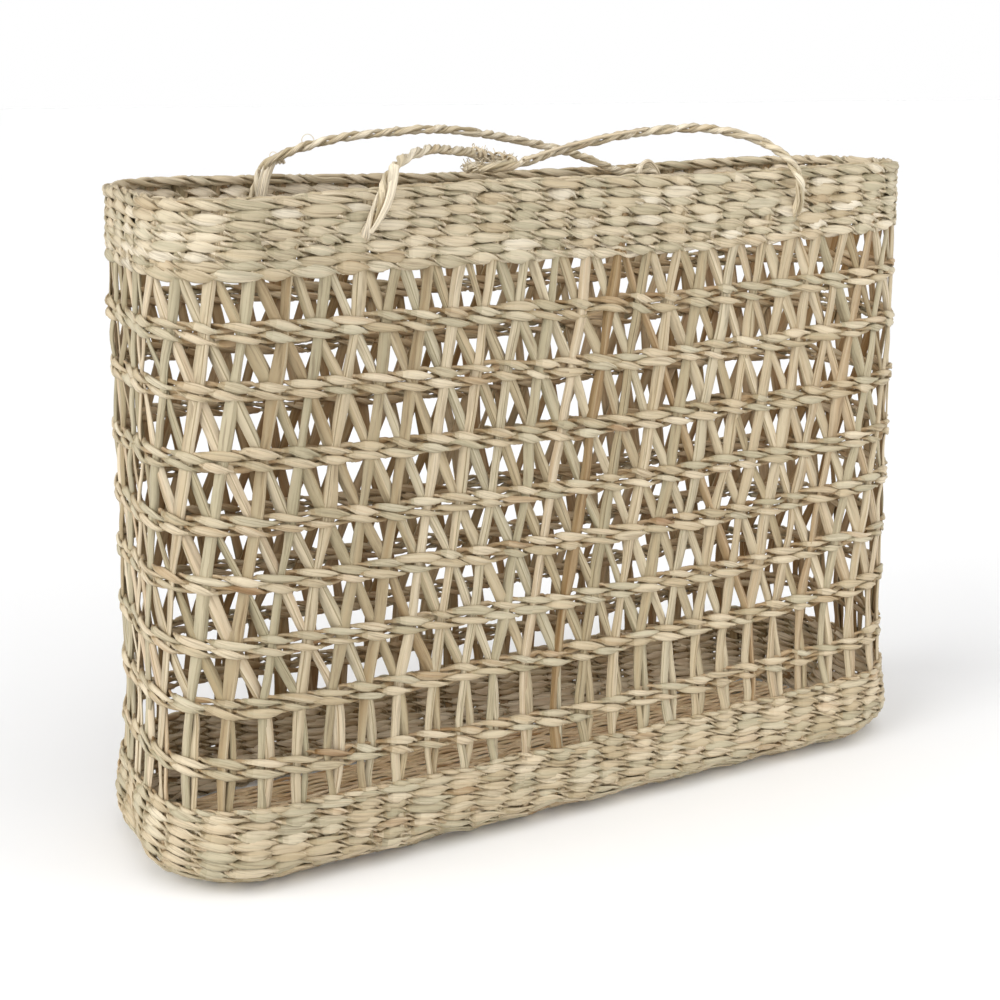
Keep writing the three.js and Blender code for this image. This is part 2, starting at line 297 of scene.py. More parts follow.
def lengths_along(points):
    steps = np.linalg.norm(np.diff(points, axis=0), axis=1)
    return np.concatenate(([0], np.cumsum(steps)))


def even_points(points, spacing):
    along = lengths_along(points)
    wanted = np.linspace(0, along[-1], int(round(along[-1] / spacing)) + 1)
    return np.column_stack([np.interp(wanted, along, points[:, axis]) for axis in range(3)])


def travel_frames(points, first_side):
    """Side and top directions that follow a line without twisting about it."""
    along = unit(np.gradient(points, axis=0))
    side = unit(np.array(first_side) - along[0] * np.dot(first_side, along[0]))
    sides = []
    for direction in along:
        side = unit(side - direction * np.dot(side, direction))
        sides.append(side)
    sides = np.array(sides)
    return along, sides, np.cross(along, sides)


# Wall shape

def foot_outset(height):
    rise = np.sin(0.5 * np.pi * np.clip(height / SWELL_HEIGHT, 0, 1))
    foot = -FOOT_TUCK + (FOOT_TUCK + FOOT_SWELL) * rise
    share = np.clip((height - SWELL_HEIGHT) / (WAIST_HEIGHT - SWELL_HEIGHT), 0, 1)
    waist = FOOT_SWELL * (0.5 + 0.5 * np.cos(np.pi * share))
    return np.where(height < SWELL_HEIGHT, foot, waist)


def outline_point(half_length, half_depth, radius, share):
    """Point at a share of the way round from the middle of the front, towards +X."""
    straight_x = half_length - radius
    straight_y = half_depth - radius
    arc = 0.5 * np.pi * radius
    around = 4 * (straight_x + straight_y + arc)
    turned = share % 1.0
    side = np.where(turned < 0.5, 1.0, -1.0)
    along = np.where(turned < 0.5, turned, 1 - turned) * around
    front = np.clip(along, 0, straight_x)
    first_turn = np.clip(along - straight_x, 0, arc) / radius
    end = np.clip(along - straight_x - arc, 0, 2 * straight_y)
    second_turn = np.clip(along - straight_x - arc - 2 * straight_y, 0, arc) / radius
    rear = np.clip(along - straight_x - 2 * arc - 2 * straight_y, 0, None)
    x = front + radius * np.sin(first_turn) - radius * (1 - np.cos(second_turn)) - rear
    y = -half_depth + radius * (1 - np.cos(first_turn)) + end + radius * np.sin(second_turn)
    return side * x, y


def wall_point(share, height, inset):
    level = height / BAG_HEIGHT
    offset = foot_outset(height) - inset
    half_depth = 0.5 * (FOOT_DEPTH + (RIM_DEPTH - FOOT_DEPTH) * level) + offset
    half_length = 0.5 * (FOOT_LENGTH + (RIM_LENGTH - FOOT_LENGTH) * level) + offset
    radius = np.minimum(CORNER_RADIUS + offset, half_depth * 0.98)
    x, y = outline_point(half_length, half_depth, radius, share)
    middle = np.cos(0.5 * np.pi * x / half_length) ** 2
    lean = RIM_PINCH * middle * np.clip(level, 0, None) ** 1.5
    return np.stack((x, y - lean * y / half_depth, height), axis=-1)


def smooth_step(value):
    value = np.clip(value, 0, 1)
    return value * value * (3 - 2 * value)


def blended(low, high, share):
    return low + (high - low) * share


def wall_rise(share, height):
    """How far the rows and the rim rise above level: the right end is drawn up, and the rim waves."""
    turned = share % 1.0
    places, rises = np.array(RIM_RISE).T
    steps = (-RIM_RISE_BLEND, 0, RIM_RISE_BLEND)
    rim = sum(np.interp(turned + step, places, rises, period=1.0) for step in steps) / len(steps)
    end = RIGHT_END_RISE * np.exp(-(((turned - RIGHT_END_SHARE) / RIGHT_END_SPREAD) ** 2))
    end = end * smooth_step((height - ROW_RISE_START) / ROW_RISE_SPAN)
    at_rim = smooth_step((height - RIM_RISE_START) / RIM_RISE_SPAN)
    return end * (1 - at_rim) + rim * at_rim


def wall_swell(share, height, middle):
    """How far the wall stands out: it wanders a little, and both ends belly out."""
    level = np.clip(height / BAG_HEIGHT, 0, 1)
    end = (2 * np.abs(middle[..., 0]) / FOOT_LENGTH) ** 4
    belly = END_BULGE * np.sin(np.pi * level) ** 0.7
    foot = FOOT_END_BULGE * np.exp(-(((height - FOOT_BULGE_HEIGHT) / FOOT_BULGE_SPREAD) ** 2))
    warp = wander(share + 0.25 * level, 12, 14, 34, 1.0) * wander(level * 0.6, 13, 2, 6, 1.0)
    waves = wander(share, 11, 2, 9, WALL_WANDER) * np.sin(np.pi * level)
    return waves + end * (belly + foot) + FINE_WARP * warp


def wall_frame(share, height):
    """Point in the middle of the weave, with the directions round, up and out of the wall."""
    share, height = np.broadcast_arrays(share, height)
    share_step, height_step = 2e-4, 4e-4
    middle = wall_point(share, height, WEAVE_INSET)
    round_way = unit(
        wall_point(share + share_step, height, WEAVE_INSET)
        - wall_point(share - share_step, height, WEAVE_INSET)
    )
    rise = wall_point(share, height + height_step, WEAVE_INSET) - wall_point(
        share, np.maximum(height - height_step, 0), WEAVE_INSET
    )
    out = unit(np.cross(round_way, rise))
    up = np.cross(out, round_way)
    moved = out * wall_swell(share, height, middle)[..., None]
    moved[..., 2] += wall_rise(share, height)
    return middle + moved, round_way, up, out


# Straw

class Straws:
    """Gathers straws as tubes of quads, each face with a tone: hue, lightness and grain offset."""

    def __init__(self):
        self.points, self.faces, self.coordinates, self.tones = [], [], [], []
        self.count = 0

    def tube(self, rings, tones, closed=False):
        """rings is steps by sides by 3. tones is steps by 3, or steps by sides by 3."""
        steps, sides = rings.shape[:2]
        rings[..., 2] = np.maximum(rings[..., 2], 0)
        spans = steps if closed else steps - 1
        here = np.arange(spans)[:, None] * sides
        there = (np.arange(spans)[:, None] + 1) % steps * sides
        corner = np.arange(sides)
        turn = (corner + 1) % sides
        quads = np.stack((here + corner, here + turn, there + turn, there + corner), axis=-1)
        centres = rings.mean(axis=1)
        following = np.roll(centres, -1, axis=0)
        step_lengths = np.linalg.norm(following - centres, axis=1)[:spans]
        along = np.concatenate(([0], np.cumsum(step_lengths)))
        girth = np.linalg.norm(np.roll(rings[steps // 2], -1, axis=0) - rings[steps // 2], axis=1).sum()
        low, high = along[:-1, None] + 0 * corner, along[1:, None] + 0 * corner
        left = 0 * along[:-1, None] + corner * girth / sides
        right = left + girth / sides
        coordinates = np.stack(
            (np.stack((low, left), -1), np.stack((low, right), -1),
             np.stack((high, right), -1), np.stack((high, left), -1)), axis=2)
        self.points.append(rings.reshape(-1, 3))
        self.faces.append(quads.reshape(-1, 4) + self.count)
        self.coordinates.append(coordinates.reshape(-1, 2))
        tones = np.broadcast_to(tones.reshape(steps, -1, 3), (steps, sides, 3))[:spans]
        self.tones.append(tones.reshape(-1, 3))
        self.count += steps * sides

    def build(self, name, material):
        mesh = bpy.data.meshes.new(name)
        mesh.from_pydata(np.vstack(self.points).tolist(), [], np.vstack(self.faces).tolist())
        layer = mesh.uv_layers.new(name="Straw")
        layer.data.foreach_set("uv", np.vstack(self.coordinates).astype(np.float32).ravel())
        tone = mesh.attributes.new("tone", "FLOAT_VECTOR", "FACE")
        tone.data.foreach_set("vector", np.vstack(self.tones).astype(np.float32).ravel())
        mesh.polygons.foreach_set("use_smooth", np.ones(len(mesh.polygons), bool))
        mesh.materials.append(material)
        mesh.update()
        piece = bpy.data.objects.new(name, mesh)
        bpy.context.collection.objects.link(piece)
        return piece


def rings_round(
        centres, wide, half_width, half_thickness, groove=0.0, aside=0.0, sides=TUBE_SIDES, closed=False):
    """Flattened round section along a line, with its long way along wide and a groove down its face."""
    if closed:
        along = unit(np.roll(centres, -1, axis=0) - np.roll(centres, 1, axis=0))
    else:
        along = unit(np.gradient(centres, axis=0))
    wide = unit(wide - along * np.sum(wide * along, axis=1, keepdims=True))
    thick = np.cross(along, wide)
    angle = 2 * np.pi * np.arange(sides) / sides
    steps = len(centres)
    half_width = np.broadcast_to(half_width, steps)[:, None, None]
    half_thickness = np.broadcast_to(half_thickness, steps)[:, None, None]
    ridge = np.abs(np.sin(angle)) > 0.95
    dip = 1 - np.outer(np.broadcast_to(groove, steps), ridge)
    slide = np.cos(angle) + np.outer(np.broadcast_to(aside, steps), ridge)
    across = slide[:, :, None] * wide[:, None, :] * half_width
    through = (np.sin(angle) * dip)[:, :, None] * thick[:, None, :] * half_thickness
    return centres[:, None, :] + across + through


def stepped(position, values):
    """One value for each whole position, blended between neighbours."""
    low = np.floor(position).astype(int)
    blend = smooth_step((position - low - 0.5) / BLEND_SPAN + 0.5)[:, None]
    return values[low % len(values)] * (1 - blend) + values[(low + 1) % len(values)] * blend


def weft_tones(floats, rng, rare):
    """Tones of the floats of one weft: blades of a few floats each, with some change between floats."""
    blades = rng.uniform(0, 1, (floats // FLOATS_PER_BLADE + 2, 3))
    blade = np.repeat(blades, FLOATS_PER_BLADE, axis=0)[:floats]
    own = rng.uniform(0, 1, (floats, 3))
    tones = BLADE_TONE_SHARE * blade + (1 - BLADE_TONE_SHARE) * own
    tones[:, 0] *= LAST_PALE_HUE
    rust = rng.uniform(0, 1, floats) < rare
    tones[:, 0] = np.where(rust, rng.uniform(0.9, 1.0, floats), tones[:, 0])
    return tones


def twined_tones(turn, rng, floats, inside):
    """Tones along a twined weft: a warmer hue on the inside with painted shade or painted light on the inner
    floats, and painted shade where it dives between the stakes.
    """
    hue, inside_painted_shade = inside
    tones = weft_tones(floats, rng, RARE_RUST)
    tones[1::2, 0] = hue + 0.2 * (tones[1::2, 0] - 0.5)
    # Inner floats are darkened as painted shade, or lightened as painted light where the value is negative
    tones[1::2, 1] -= inside_painted_shade
    along = stepped(turn / np.pi, tones)
    # Painted shade where the weft dives between the stakes
    along[:, 1] -= DIVE_PAINTED_SHADE * (1 - np.abs(np.cos(turn))) ** 2
    return along


def twining_places(floats=STAKE_PAIRS):
    """Places round a row, counted in floats, closest together where the wefts change sides."""
    even = np.arange(floats * STEPS_PER_PAIR) / STEPS_PER_PAIR
    return even + 0.5 * np.sin(2 * np.pi * even) / (2 * np.pi)


def lay_flat(turn, strength):
    """Turn of a blade's face, which stays flat to the wall and rolls over between the pairs."""
    rest = np.round(turn / np.pi) * np.pi
    part = (turn - rest) / (0.5 * np.pi)
    return rest + 0.5 * np.pi * np.sign(part) * np.abs(part) ** strength


def per_float(turn, rng, floats, lowest, highest):
    """A random value for each float, blended where one float gives way to the next."""
    return stepped(turn / np.pi, rng.uniform(lowest, highest, (floats, 1)))[:, 0]


def weft(straws, heights, shift, phase, rng, half_width, drop, floats, inside):
    """One weft of a twined row. It passes outside one stake pair and inside the next."""
    place = twining_places(floats)
    share = (place - shift) / floats
    turn = np.pi * (place + wander(share, rng.integers(1 << 30), 8, 40, 0.13)) + phase
    size = per_float(turn, rng, floats, 0.76, 1.22)
    stray = per_float(turn, rng, floats, -0.00035, 0.00035)
    middle, _, up, out = wall_frame(share, heights(share) + stray)
    front, dive = np.cos(turn), np.sin(turn)
    swings = WEFT_SWING * per_float(turn, rng, floats, 0.8, 1.25) * front / np.sqrt(0.3 + 0.7 * front**2)
    drops = drop * per_float(turn, rng, floats, 0.75, 1.3) * dive
    centres = middle + out * swings[:, None] - up * drops[:, None]
    pinch = WEFT_NECK + (1 - WEFT_NECK) * front**2
    roll = lay_flat(turn, 2.1)[:, None] + per_float(turn, rng, floats, -0.22, 0.22)[:, None]
    wide = np.cos(roll) * up + np.sin(roll) * out
    rings = rings_round(
        centres, wide, half_width * size * pinch, WEFT_HALF_THICKNESS * (1.25 - 0.25 * front**2),
        groove=per_float(turn, rng, floats, 0.0, 0.62), aside=per_float(turn, rng, floats, -0.4, 0.4),
        closed=True)
    straws.tube(rings, twined_tones(turn, rng, floats, inside), closed=True)


def sagging(height, sag, seed, size=0.0005):
    """Heights round a row that hangs lower in the middle of the long walls."""
    return lambda share: height - sag * np.cos(4 * np.pi * share) + wander(share, seed, 3, 24, size)


def twined_row(
        straws, heights, shift, seed, half_width, drop, floats=STAKE_PAIRS, inside=WALL_INSIDE_HUE_AND_PAINTED_SHADE):
    rng = np.random.default_rng(seed)
    for phase in (0.0, np.pi):
        weft(straws, heights, shift, phase, rng, half_width, drop, floats, inside)


def node_shift(row):
    """Share of a pair by which the pairs have moved back at a twined row, counted from the rim."""
    return -SIDE_LEAN * row


# Pieces of the weave

def painted_shade_fillers(straws, bottom, top, shift, seed):
    """Dark inner straws that close the weave of a dense band between the stake pairs, as painted shade in
    its slots.
    """
    rng = np.random.default_rng(seed)
    heights = np.linspace(bottom, top, 12)
    for index in range(STAKE_PAIRS):
        share = np.full(len(heights), (index + 0.5 - shift) / STAKE_PAIRS)
        middle, round_way, _, out = wall_frame(share, heights)
        centres = middle - FILLER_DEPTH * out
        rings = rings_round(centres, round_way, FILLER_HALF_WIDTH, FILLER_HALF_THICKNESS, sides=6)
        # Dark tone, as painted shade seen through the slots
        straws.tube(rings, np.tile((*FILLER_PAINTED_SHADE_TONE, rng.uniform()), (len(heights), 1)))


def rim_weave(material):
    straws = Straws()
    top = BORDER_MIDDLE - 0.0052
    heights = np.linspace(top, RIM_BAND_BOTTOM + 0.0021, RIM_ROWS)
    half_width = RIM_WEFT_SHARE * (heights[0] - heights[1])
    for row, height in enumerate(heights):
        low = row / (RIM_ROWS - 1)
        sag = ROW_SAG * low**2
        heights_round = sagging(height, sag, 100 + row, 0.00035)
        shift = 0.06 * row + 0.05 * (-1) ** row
        twined_row(straws, heights_round, shift, 200 + row, half_width, DENSE_DROP, inside=RIM_INSIDE_HUE_AND_PAINTED_LIGHT)
    painted_shade_fillers(straws, RIM_BAND_BOTTOM + 0.0015, BORDER_MIDDLE, 0.0, 250)
    return straws.build("rim_weave", material)


def base_profile():
    """Heights of the base rows, evenly spaced along the curve of the foot."""
    heights = np.linspace(LOWEST_BASE_HEIGHT, BASE_BAND_TOP, 400)
    outset = foot_outset(heights)
    along = np.concatenate(([0], np.cumsum(np.hypot(np.diff(heights), np.diff(outset)))))
    pitch = along[-1] / BASE_ROWS
    return np.interp(pitch * (np.arange(BASE_ROWS) + 0.5), along, heights)[::-1], pitch


def base_weave(material):
    straws = Straws()
    heights, pitch = base_profile()
    half_width = BASE_WEFT_SHARE * pitch
    for row, height in enumerate(heights):
        sag = BASE_SAG * max(0, 1 - row / 5)
        shift = node_shift(LEANING_ROWS) + 0.05 * row
        heights_round = sagging(height, sag, 300 + row, 0.00035)
        twined_row(straws, heights_round, shift, 400 + row, half_width, DENSE_DROP, inside=BASE_INSIDE_HUE_AND_PAINTED_LIGHT)
    painted_shade_fillers(straws, 0.0030, BASE_BAND_TOP - 0.002, node_shift(LEANING_ROWS), 350)
    return straws.build("base_weave", material)


def base_lip(material):
    """Finer row that closes the top of the base band, with a float for each stake."""
    straws = Straws()
    heights = sagging(BASE_BAND_TOP + 0.0006, BASE_SAG, 330, 0.0003)
    shift = 2 * node_shift(LEANING_ROWS)
    twined_row(straws, heights, shift, 450, LIP_HALF_WIDTH, LIP_DROP, floats=2 * STAKE_PAIRS)
    return straws.build("base_lip", material)


def open_rows(name, rows, material):
    """Pairs of twined rows across the open wall."""
    straws = Straws()
    for row in rows:
        height = TWINED_ROW_MIDDLES[row - 1]
        sag = LOWEST_ROW_SAG if row == len(TWINED_ROW_MIDDLES) else ROW_SAG
        shift = node_shift(min(row, LEANING_ROWS))
        for level, side in enumerate((ROW_HALF_GAP, -ROW_HALF_GAP)):
            heights = sagging(height + side, sag, 500 + 2 * row + level, 0.0006)
            seed = 600 + 2 * row + level
            twined_row(straws, heights, shift + 0.12 * level, seed, ROW_HALF_WIDTH, ROW_DROP)
    return straws.build(name, material)


def stake_levels(index, leaning):
    """Heights and places of a stake down the wall. It leans by a share of a pair from row to row."""
    place = [index + leaning * row for row in range(LEANING_ROWS + 1)]
    spread = FRONT_SPREAD if leaning < 0 else REAR_SPREAD
    foot = [place[-1] + share * spread for share in FOOT_SPREAD]
    place = [place[0] - leaning * 0.9] + place + foot
    heights = [*STAKE_TOP_HEIGHTS, *TWINED_ROW_MIDDLES, BASE_BAND_TOP, *STAKE_FOOT_HEIGHTS]
    return np.array(heights), np.array(place)


def stake_tones(steps, rng):
    """Tones of a stake, section point by section point: its two inner faces are warmer and darker as painted
    shade, its edges darker as painted shade, and the narrow face on its ridge and one side of its fold get
    random painted shade, the ridge face often a dark painted slot.
    """
    hue = rng.uniform(0.84, 0.9) if rng.uniform() < 0.035 else 0.8 * rng.uniform(0, 1)
    light, offset = rng.uniform(-0.3, 0.8), rng.uniform()
    tones = np.tile((hue, light, offset), (steps, 7, 1))
    tones[:, 1:3, 0] = INSIDE_HUE + 0.2 * (hue - 0.5)
    # Inner faces are darkened as painted shade
    tones[:, 1:3, 1] -= INSIDE_PAINTED_SHADE
    # Edge faces are darkened as painted shade
    tones[:, (0, 3), 1] -= EDGE_PAINTED_SHADE
    # One side of the fold is mostly darker, sometimes a little lighter, as painted shade of the fold
    tones[:, 6, 1] -= rng.uniform(-0.2, 0.5)
    # Narrow face on the ridge: in about a third of the stakes it is dark, a painted shaded slot
    tones[:, 5, 1] -= rng.choice((-0.1, 0.2, 1.1))
    return tones


def stake_section(rng):
    """Folded section of a stake, across in half widths and through in metres."""
    ridge = rng.uniform(-0.7, 0.7)
    crease = STAKE_CREASE * rng.uniform(0.3, 1.4)
    return np.array([
        (-1.0, -crease), (-0.94, -crease - STAKE_SKIN), (ridge, crease - 1.4 * STAKE_SKIN),
        (0.94, -crease - STAKE_SKIN), (1.0, -crease), (ridge + 0.1, crease), (ridge - 0.1, crease),
    ])


def stake(straws, index, leaning, depth, half_width, rng):
    levels, places = stake_levels(index, leaning)
    places = places + np.concatenate(([0], rng.normal(0, 0.045, len(places) - 1)))
    heights = np.linspace(levels[0], levels[-1], STAKE_STEPS)
    place = np.interp(-heights, -levels, places)
    place = np.convolve(np.pad(place, 2, mode="edge"), np.ones(5) / 5, mode="valid")
    share = place / STAKE_PAIRS
    sag = ROW_SAG * np.cos(4 * np.pi * share) * np.clip((0.31 - heights) / 0.05, 0, 1)
    sag = sag * np.clip((heights - 0.02) / 0.03, 0, 1)
    middle, round_way, up, out = wall_frame(share, np.maximum(heights - sag, 0.002))
    climb = np.linspace(0, 1, len(heights))
    above_base = np.clip((heights - BASE_BAND_TOP) / 0.008, 0, 1)
    below_rim = np.clip((RIM_BAND_BOTTOM - heights) / 0.008, 0, 1)
    free = above_base * below_rim
    twist = free * (rng.normal(0, 0.1) + wander(climb, rng.integers(1 << 30), 1, 3, 0.14))
    wide = round_way * np.cos(twist)[:, None] + out * np.sin(twist)[:, None]
    bow = depth + wander(climb, rng.integers(1 << 30), 4, 12, 0.00025)
    centres = middle + out * bow[:, None]
    width = half_width * (1 + wander(climb, rng.integers(1 << 30), 1, 7, 0.16))
    width = width * blended(LOW_STAKE_WIDTH, 1, smooth_step((heights - LOW_STAKE_TOP) / LOW_STAKE_TOP))
    width = width * (1 + END_WIDENING * (2 * np.abs(middle[:, 0]) / FOOT_LENGTH) ** 8)
    along = unit(np.gradient(centres, axis=0))
    wide = unit(wide - along * np.sum(wide * along, axis=1, keepdims=True))
    thick = np.cross(along, wide)
    thick = thick * np.sign(np.sum(thick * out, axis=1, keepdims=True))
    section = stake_section(rng)
    rings = (
        centres[:, None, :]
        + section[None, :, :1] * width[:, None, None] * wide[:, None, :]
        + section[None, :, 1:] * thick[:, None, :]
    )
    straws.tube(rings, stake_tones(len(heights), rng))


def stakes(name, leaning, depth, widths, seed, material):
    straws = Straws()
    rng = np.random.default_rng(seed)
    for index in range(STAKE_PAIRS):
        stake(straws, index, leaning, depth, rng.uniform(*widths), rng)
    return straws.build(name, material)


def border_strand(strand, seed, inward, lift, drop, half_width, rng):
    place = twining_places()
    share = place / STAKE_PAIRS
    middle, _, up, out = wall_frame(share, BORDER_MIDDLE + lift + wander(share, 701 + seed, 5, 30, 0.0002))
    turn = np.pi * (place + strand + wander(share, 705 + seed, 6, 40, 0.2))
    front, dive = np.cos(turn)[:, None], np.sin(turn)[:, None]
    swing = 0.0014 * (1 + wander(share, 710 + seed + strand, 10, 50, 0.2))[:, None]
    centres = middle + out * (front * swing - inward) - up * dive * drop
    roll = lay_flat(turn, 1.6)[:, None]
    wide = np.cos(roll) * up + np.sin(roll) * out
    size = per_float(turn, rng, STAKE_PAIRS, 0.75, 1.25)
    groove = per_float(turn, rng, STAKE_PAIRS, 0.1, 0.6)
    aside = per_float(turn, rng, STAKE_PAIRS, -0.4, 0.4)
    rings = rings_round(centres, wide, half_width * size, 0.0011, groove=groove, aside=aside, closed=True)
    tones = stepped(turn / np.pi, weft_tones(STAKE_PAIRS, rng, 0.01))
    # Painted shade where the strand dives between the stakes
    tones[:, 1] -= 0.5 * (1 - np.abs(np.cos(turn))) ** 2
    return rings, tones


def border(material):
    """Steep pale straws along the outside of the rim, with a finer warm twist along its inside."""
    straws = Straws()
    rng = np.random.default_rng(700)
    for strand in range(2):
        rings, tones = border_strand(strand, 0, -0.0006, -0.0003, 0.0012, 0.0021, rng)
        straws.tube(rings, tones, closed=True)
    for strand in range(2):
        rings, tones = border_strand(strand, 40, 0.0022, 0.0006, 0.0014, 0.0018, rng)
        tones[:, 0] = 0.45 + 0.45 * tones[:, 0]
        straws.tube(rings, tones, closed=True)
    return straws.build("border_roll", material)


def floor_weave(material):
    """Fine straws along the floor, over and under the stakes that cross it."""
    straws = Straws()
    rng = np.random.default_rng(800)
    half_length = 0.5 * FOOT_LENGTH - FOOT_TUCK - FLOOR_INSET
    half_depth = 0.5 * FOOT_DEPTH - FOOT_TUCK - FLOOR_INSET
    radius = CORNER_RADIUS - FOOT_TUCK
    rows = int(2 * half_depth / FLOOR_ROW_PITCH)
    for row in range(rows):
        y = -half_depth + (row + 0.5) * 2 * half_depth / rows
        beyond = max(0, abs(y) - (half_depth - radius))
        reach = half_length - radius + np.sqrt(max(0, radius**2 - beyond**2))
        x = np.linspace(-reach, reach, int(2 * reach / 0.003))
        share = (x + half_length) / (2 * half_length)
        turn = np.pi * (x / FLOOR_STAKE_PITCH + row)
        z = FLOOR_MIDDLE + 0.0007 * np.cos(turn) + wander(share, rng.integers(1 << 30), 3, 20, 0.0002)
        line = np.column_stack((x, y + wander(share, rng.integers(1 << 30), 5, 30, 0.0006), z))
        wide = np.tile((0.0, 1.0, 0.0), (len(x), 1))
        size = 1 + wander(share, rng.integers(1 << 30), 8, 40, 0.15)
        rings = rings_round(line, wide, 0.0015 * size, 0.0008, sides=6)
        straws.tube(rings, stepped(x / 0.06 + 10, weft_tones(40, rng, 0.2)))
    for column in range(int(2 * half_length / FLOOR_STAKE_PITCH)):
        x = -half_length + (column + 0.5) * FLOOR_STAKE_PITCH
        y = np.linspace(-half_depth + 0.001, half_depth - 0.001, FLOOR_STAKE_STEPS)
        bend = wander(y / 0.1, rng.integers(1 << 30), 1, 4, 0.0006)
        line = np.column_stack((x + bend, y, np.full(FLOOR_STAKE_STEPS, FLOOR_MIDDLE)))
        wide = np.tile((1.0, 0.0, 0.0), (FLOOR_STAKE_STEPS, 1))
        rings = rings_round(line, wide, 0.0019, 0.0004, sides=6)
        straws.tube(rings, np.tile(rng.uniform(0, 1, 3), (FLOOR_STAKE_STEPS, 1)))
    return straws.build("floor_weave", material)


def rope(name, route, seed, material):
    """Two plies of twisted straw along a handle's route."""
    line = even_points(catmull_rom(route, 16), ROPE_SAMPLE)
    along, side, top = travel_frames(line, (0.0, 1.0, 0.0))
    travelled = lengths_along(line)
    share = travelled / travelled[-1]
    twisted = smooth_step(travelled / STRAP_LENGTH) * smooth_step((travelled[-1] - travelled) / STRAP_LENGTH)
    turned = lengths_along(np.cumsum(twisted)[:, None]) * ROPE_SAMPLE
    straws = Straws()
    rng = np.random.default_rng(seed)
    for ply in range(2):
        turn = -2 * np.pi * turned / ROPE_TURN + np.pi * ply + wander(share, seed + 5, 1, 12, 0.7)
        out = side * np.cos(turn)[:, None] + top * np.sin(turn)[:, None]
        across = np.cross(along, out)
        offset = PLY_OFFSET * (1 + wander(share, seed + ply, 5, 40, 0.10))
        size = 1 + wander(share, seed + 10 + ply, 10, 60, 0.13)
        centres = line + out * offset[:, None]
        half_width = blended(STRAP_HALF_WIDTH, PLY_HALF_WIDTH, twisted) * size
        half_thickness = blended(STRAP_HALF_THICKNESS, PLY_HALF_THICKNESS, twisted) * size
        rings = rings_round(centres, across, half_width, half_thickness, groove=0.35, aside=0.2)
        tones = stepped(travelled / PLY_BLADE_LENGTH, weft_tones(60, rng, 0.0))
        tones = np.repeat(tones[:, None, :], TUBE_SIDES, axis=1)
        # Painted shade along the ply edges, where the two plies meet
        tones[:, (0, 3, 4, 7), 1] -= PLY_EDGE_PAINTED_SHADE
        straws.tube(rings, tones)
    return straws.build(name, material), line, travelled[-1]


def blade(straws, points, half_width, half_thickness, wide, tone, taper=0.35):
    """Flat straw along a few points, narrower at its ends."""
    line = catmull_rom(points, 5)
    share = np.linspace(0, 1, len(line))
    size = taper + (1 - taper) * np.sin(np.pi * np.clip(share * 0.9 + 0.05, 0, 1)) ** 0.5
    wide = np.tile(np.array(wide, float), (len(line), 1))
    rings = rings_round(line, wide, half_width * size, half_thickness, groove=0.3, aside=0.2, sides=6)
    straws.tube(rings, np.tile(tone, (len(line), 1)))


def frayed_fibres(straws, starts, lean, length, rng):
    """Short fine fibres that stand off a rope, each curling a little."""
    for start in starts:
        start = np.array(start) + rng.normal(0, 0.0008, 3)
        reach = unit(np.array(lean) + rng.normal(0, 0.45, 3)) * rng.uniform(*length)
        curl = rng.normal(0, 0.0007, 3)
        points = (start, start + 0.5 * reach + curl, start + reach)
        tone = (0.12, rng.uniform(0.2, 1.0), rng.uniform())
        blade(straws, points, FIBRE_HALF_WIDTH, FIBRE_HALF_THICKNESS, (0.2, 1.0, 0.3), tone)


def side_by_side(route, across, lifts, count):
    """Routes of straws that lie side by side, each a step across and lifted at some of its points."""
    for step in range(count):
        points = np.array(route) + step * np.array(across)
        points[:, 2] += step * np.array(lifts)
        yield points


def wrapped_head(straws, line, rng):
    """Short straws wound round the head of the front handle's curl."""
    for step in range(6):
        place = line[68 + 4 * step]
        swing = 0.0034 + 0.0004 * np.sin(2.4 * step)
        arc = [
            place + (0.0012 * np.cos(turn), -swing * np.cos(turn), swing * np.sin(turn))
            for turn in np.linspace(-0.4, 2.6, 6)
        ]
        tone = (0.75, rng.uniform(0.1, 0.7), rng.uniform())
        blade(straws, arc, 0.0013, BLADE_HALF_THICKNESS, (1, 0.2, 0), tone, 0.7)


def front_handle_ends(material):
    """Loose parts of the front handle: frayed ends and a wrapped head at its curl, and a second strap."""
    straws = Straws()
    rng = np.random.default_rng(970)
    line = catmull_rom(FRONT_HANDLE_ROUTE, 6)
    head = line[np.linspace(66, 90, 34).astype(int)]
    frayed_fibres(straws, head + (0, 0, 0.0012), (0.3, -0.2, 1.0), (0.0022, 0.0042), rng)
    tail = line[np.linspace(96, 118, 60).astype(int)]
    frayed_fibres(straws, tail + (0, -0.0008, 0.0008), (-1.0, -0.4, 0.25), (0.003, 0.006), rng)
    wrapped_head(straws, line, rng)
    blade(straws, SECOND_STRAP, 0.0021, 0.0007, (1.0, 0.15, 0.3), (0.2, 0.9, 0.4), 0.8)
    for offset, hue in ((0.0026, 0.3), (0.0040, 0.7)):
        twist = line[-88:-48:8] + (0.3 * offset, -offset * 0.5, offset * 0.45)
        blade(straws, twist, 0.0011, BLADE_HALF_THICKNESS, (0, 1, 0.5), (hue, 0.5, 0.3), 0.5)
    return straws.build("front_handle_ends", material)


